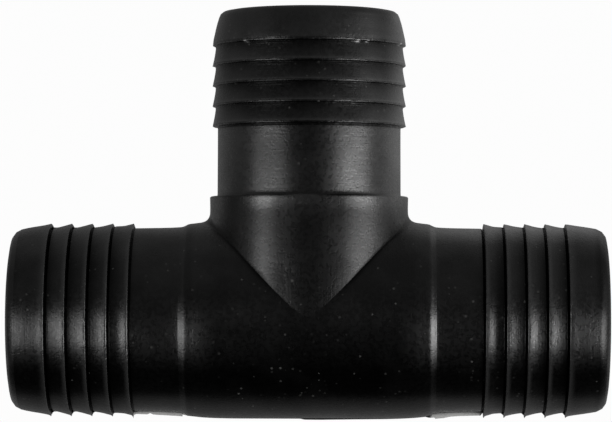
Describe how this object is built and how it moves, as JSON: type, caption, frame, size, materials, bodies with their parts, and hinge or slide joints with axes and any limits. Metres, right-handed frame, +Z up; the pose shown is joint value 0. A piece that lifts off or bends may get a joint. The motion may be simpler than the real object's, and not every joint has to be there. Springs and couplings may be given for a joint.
{
  "type": "barbed tee connector",
  "caption": "Plastic insert tee with a straight run and a square branch. Each open end is a sawtooth hose tail that grips flexible pipe pushed over it.",
  "frame": {"origin": "where the run's axis crosses the branch's axis", "axes": "+X along the run, +Y up the branch towards its open end, +Z up when the tee lies flat"},
  "size_m": [0.1142, 0.0786, 0.0384],
  "materials": {
    "black_plastic": "satin"
  },
  "bodies": {
    "root": {"tee_body": "black_plastic", "left_run_spigot": "black_plastic", "right_run_spigot": "black_plastic", "branch_spigot": "black_plastic"}
  },
  "joints": []
}
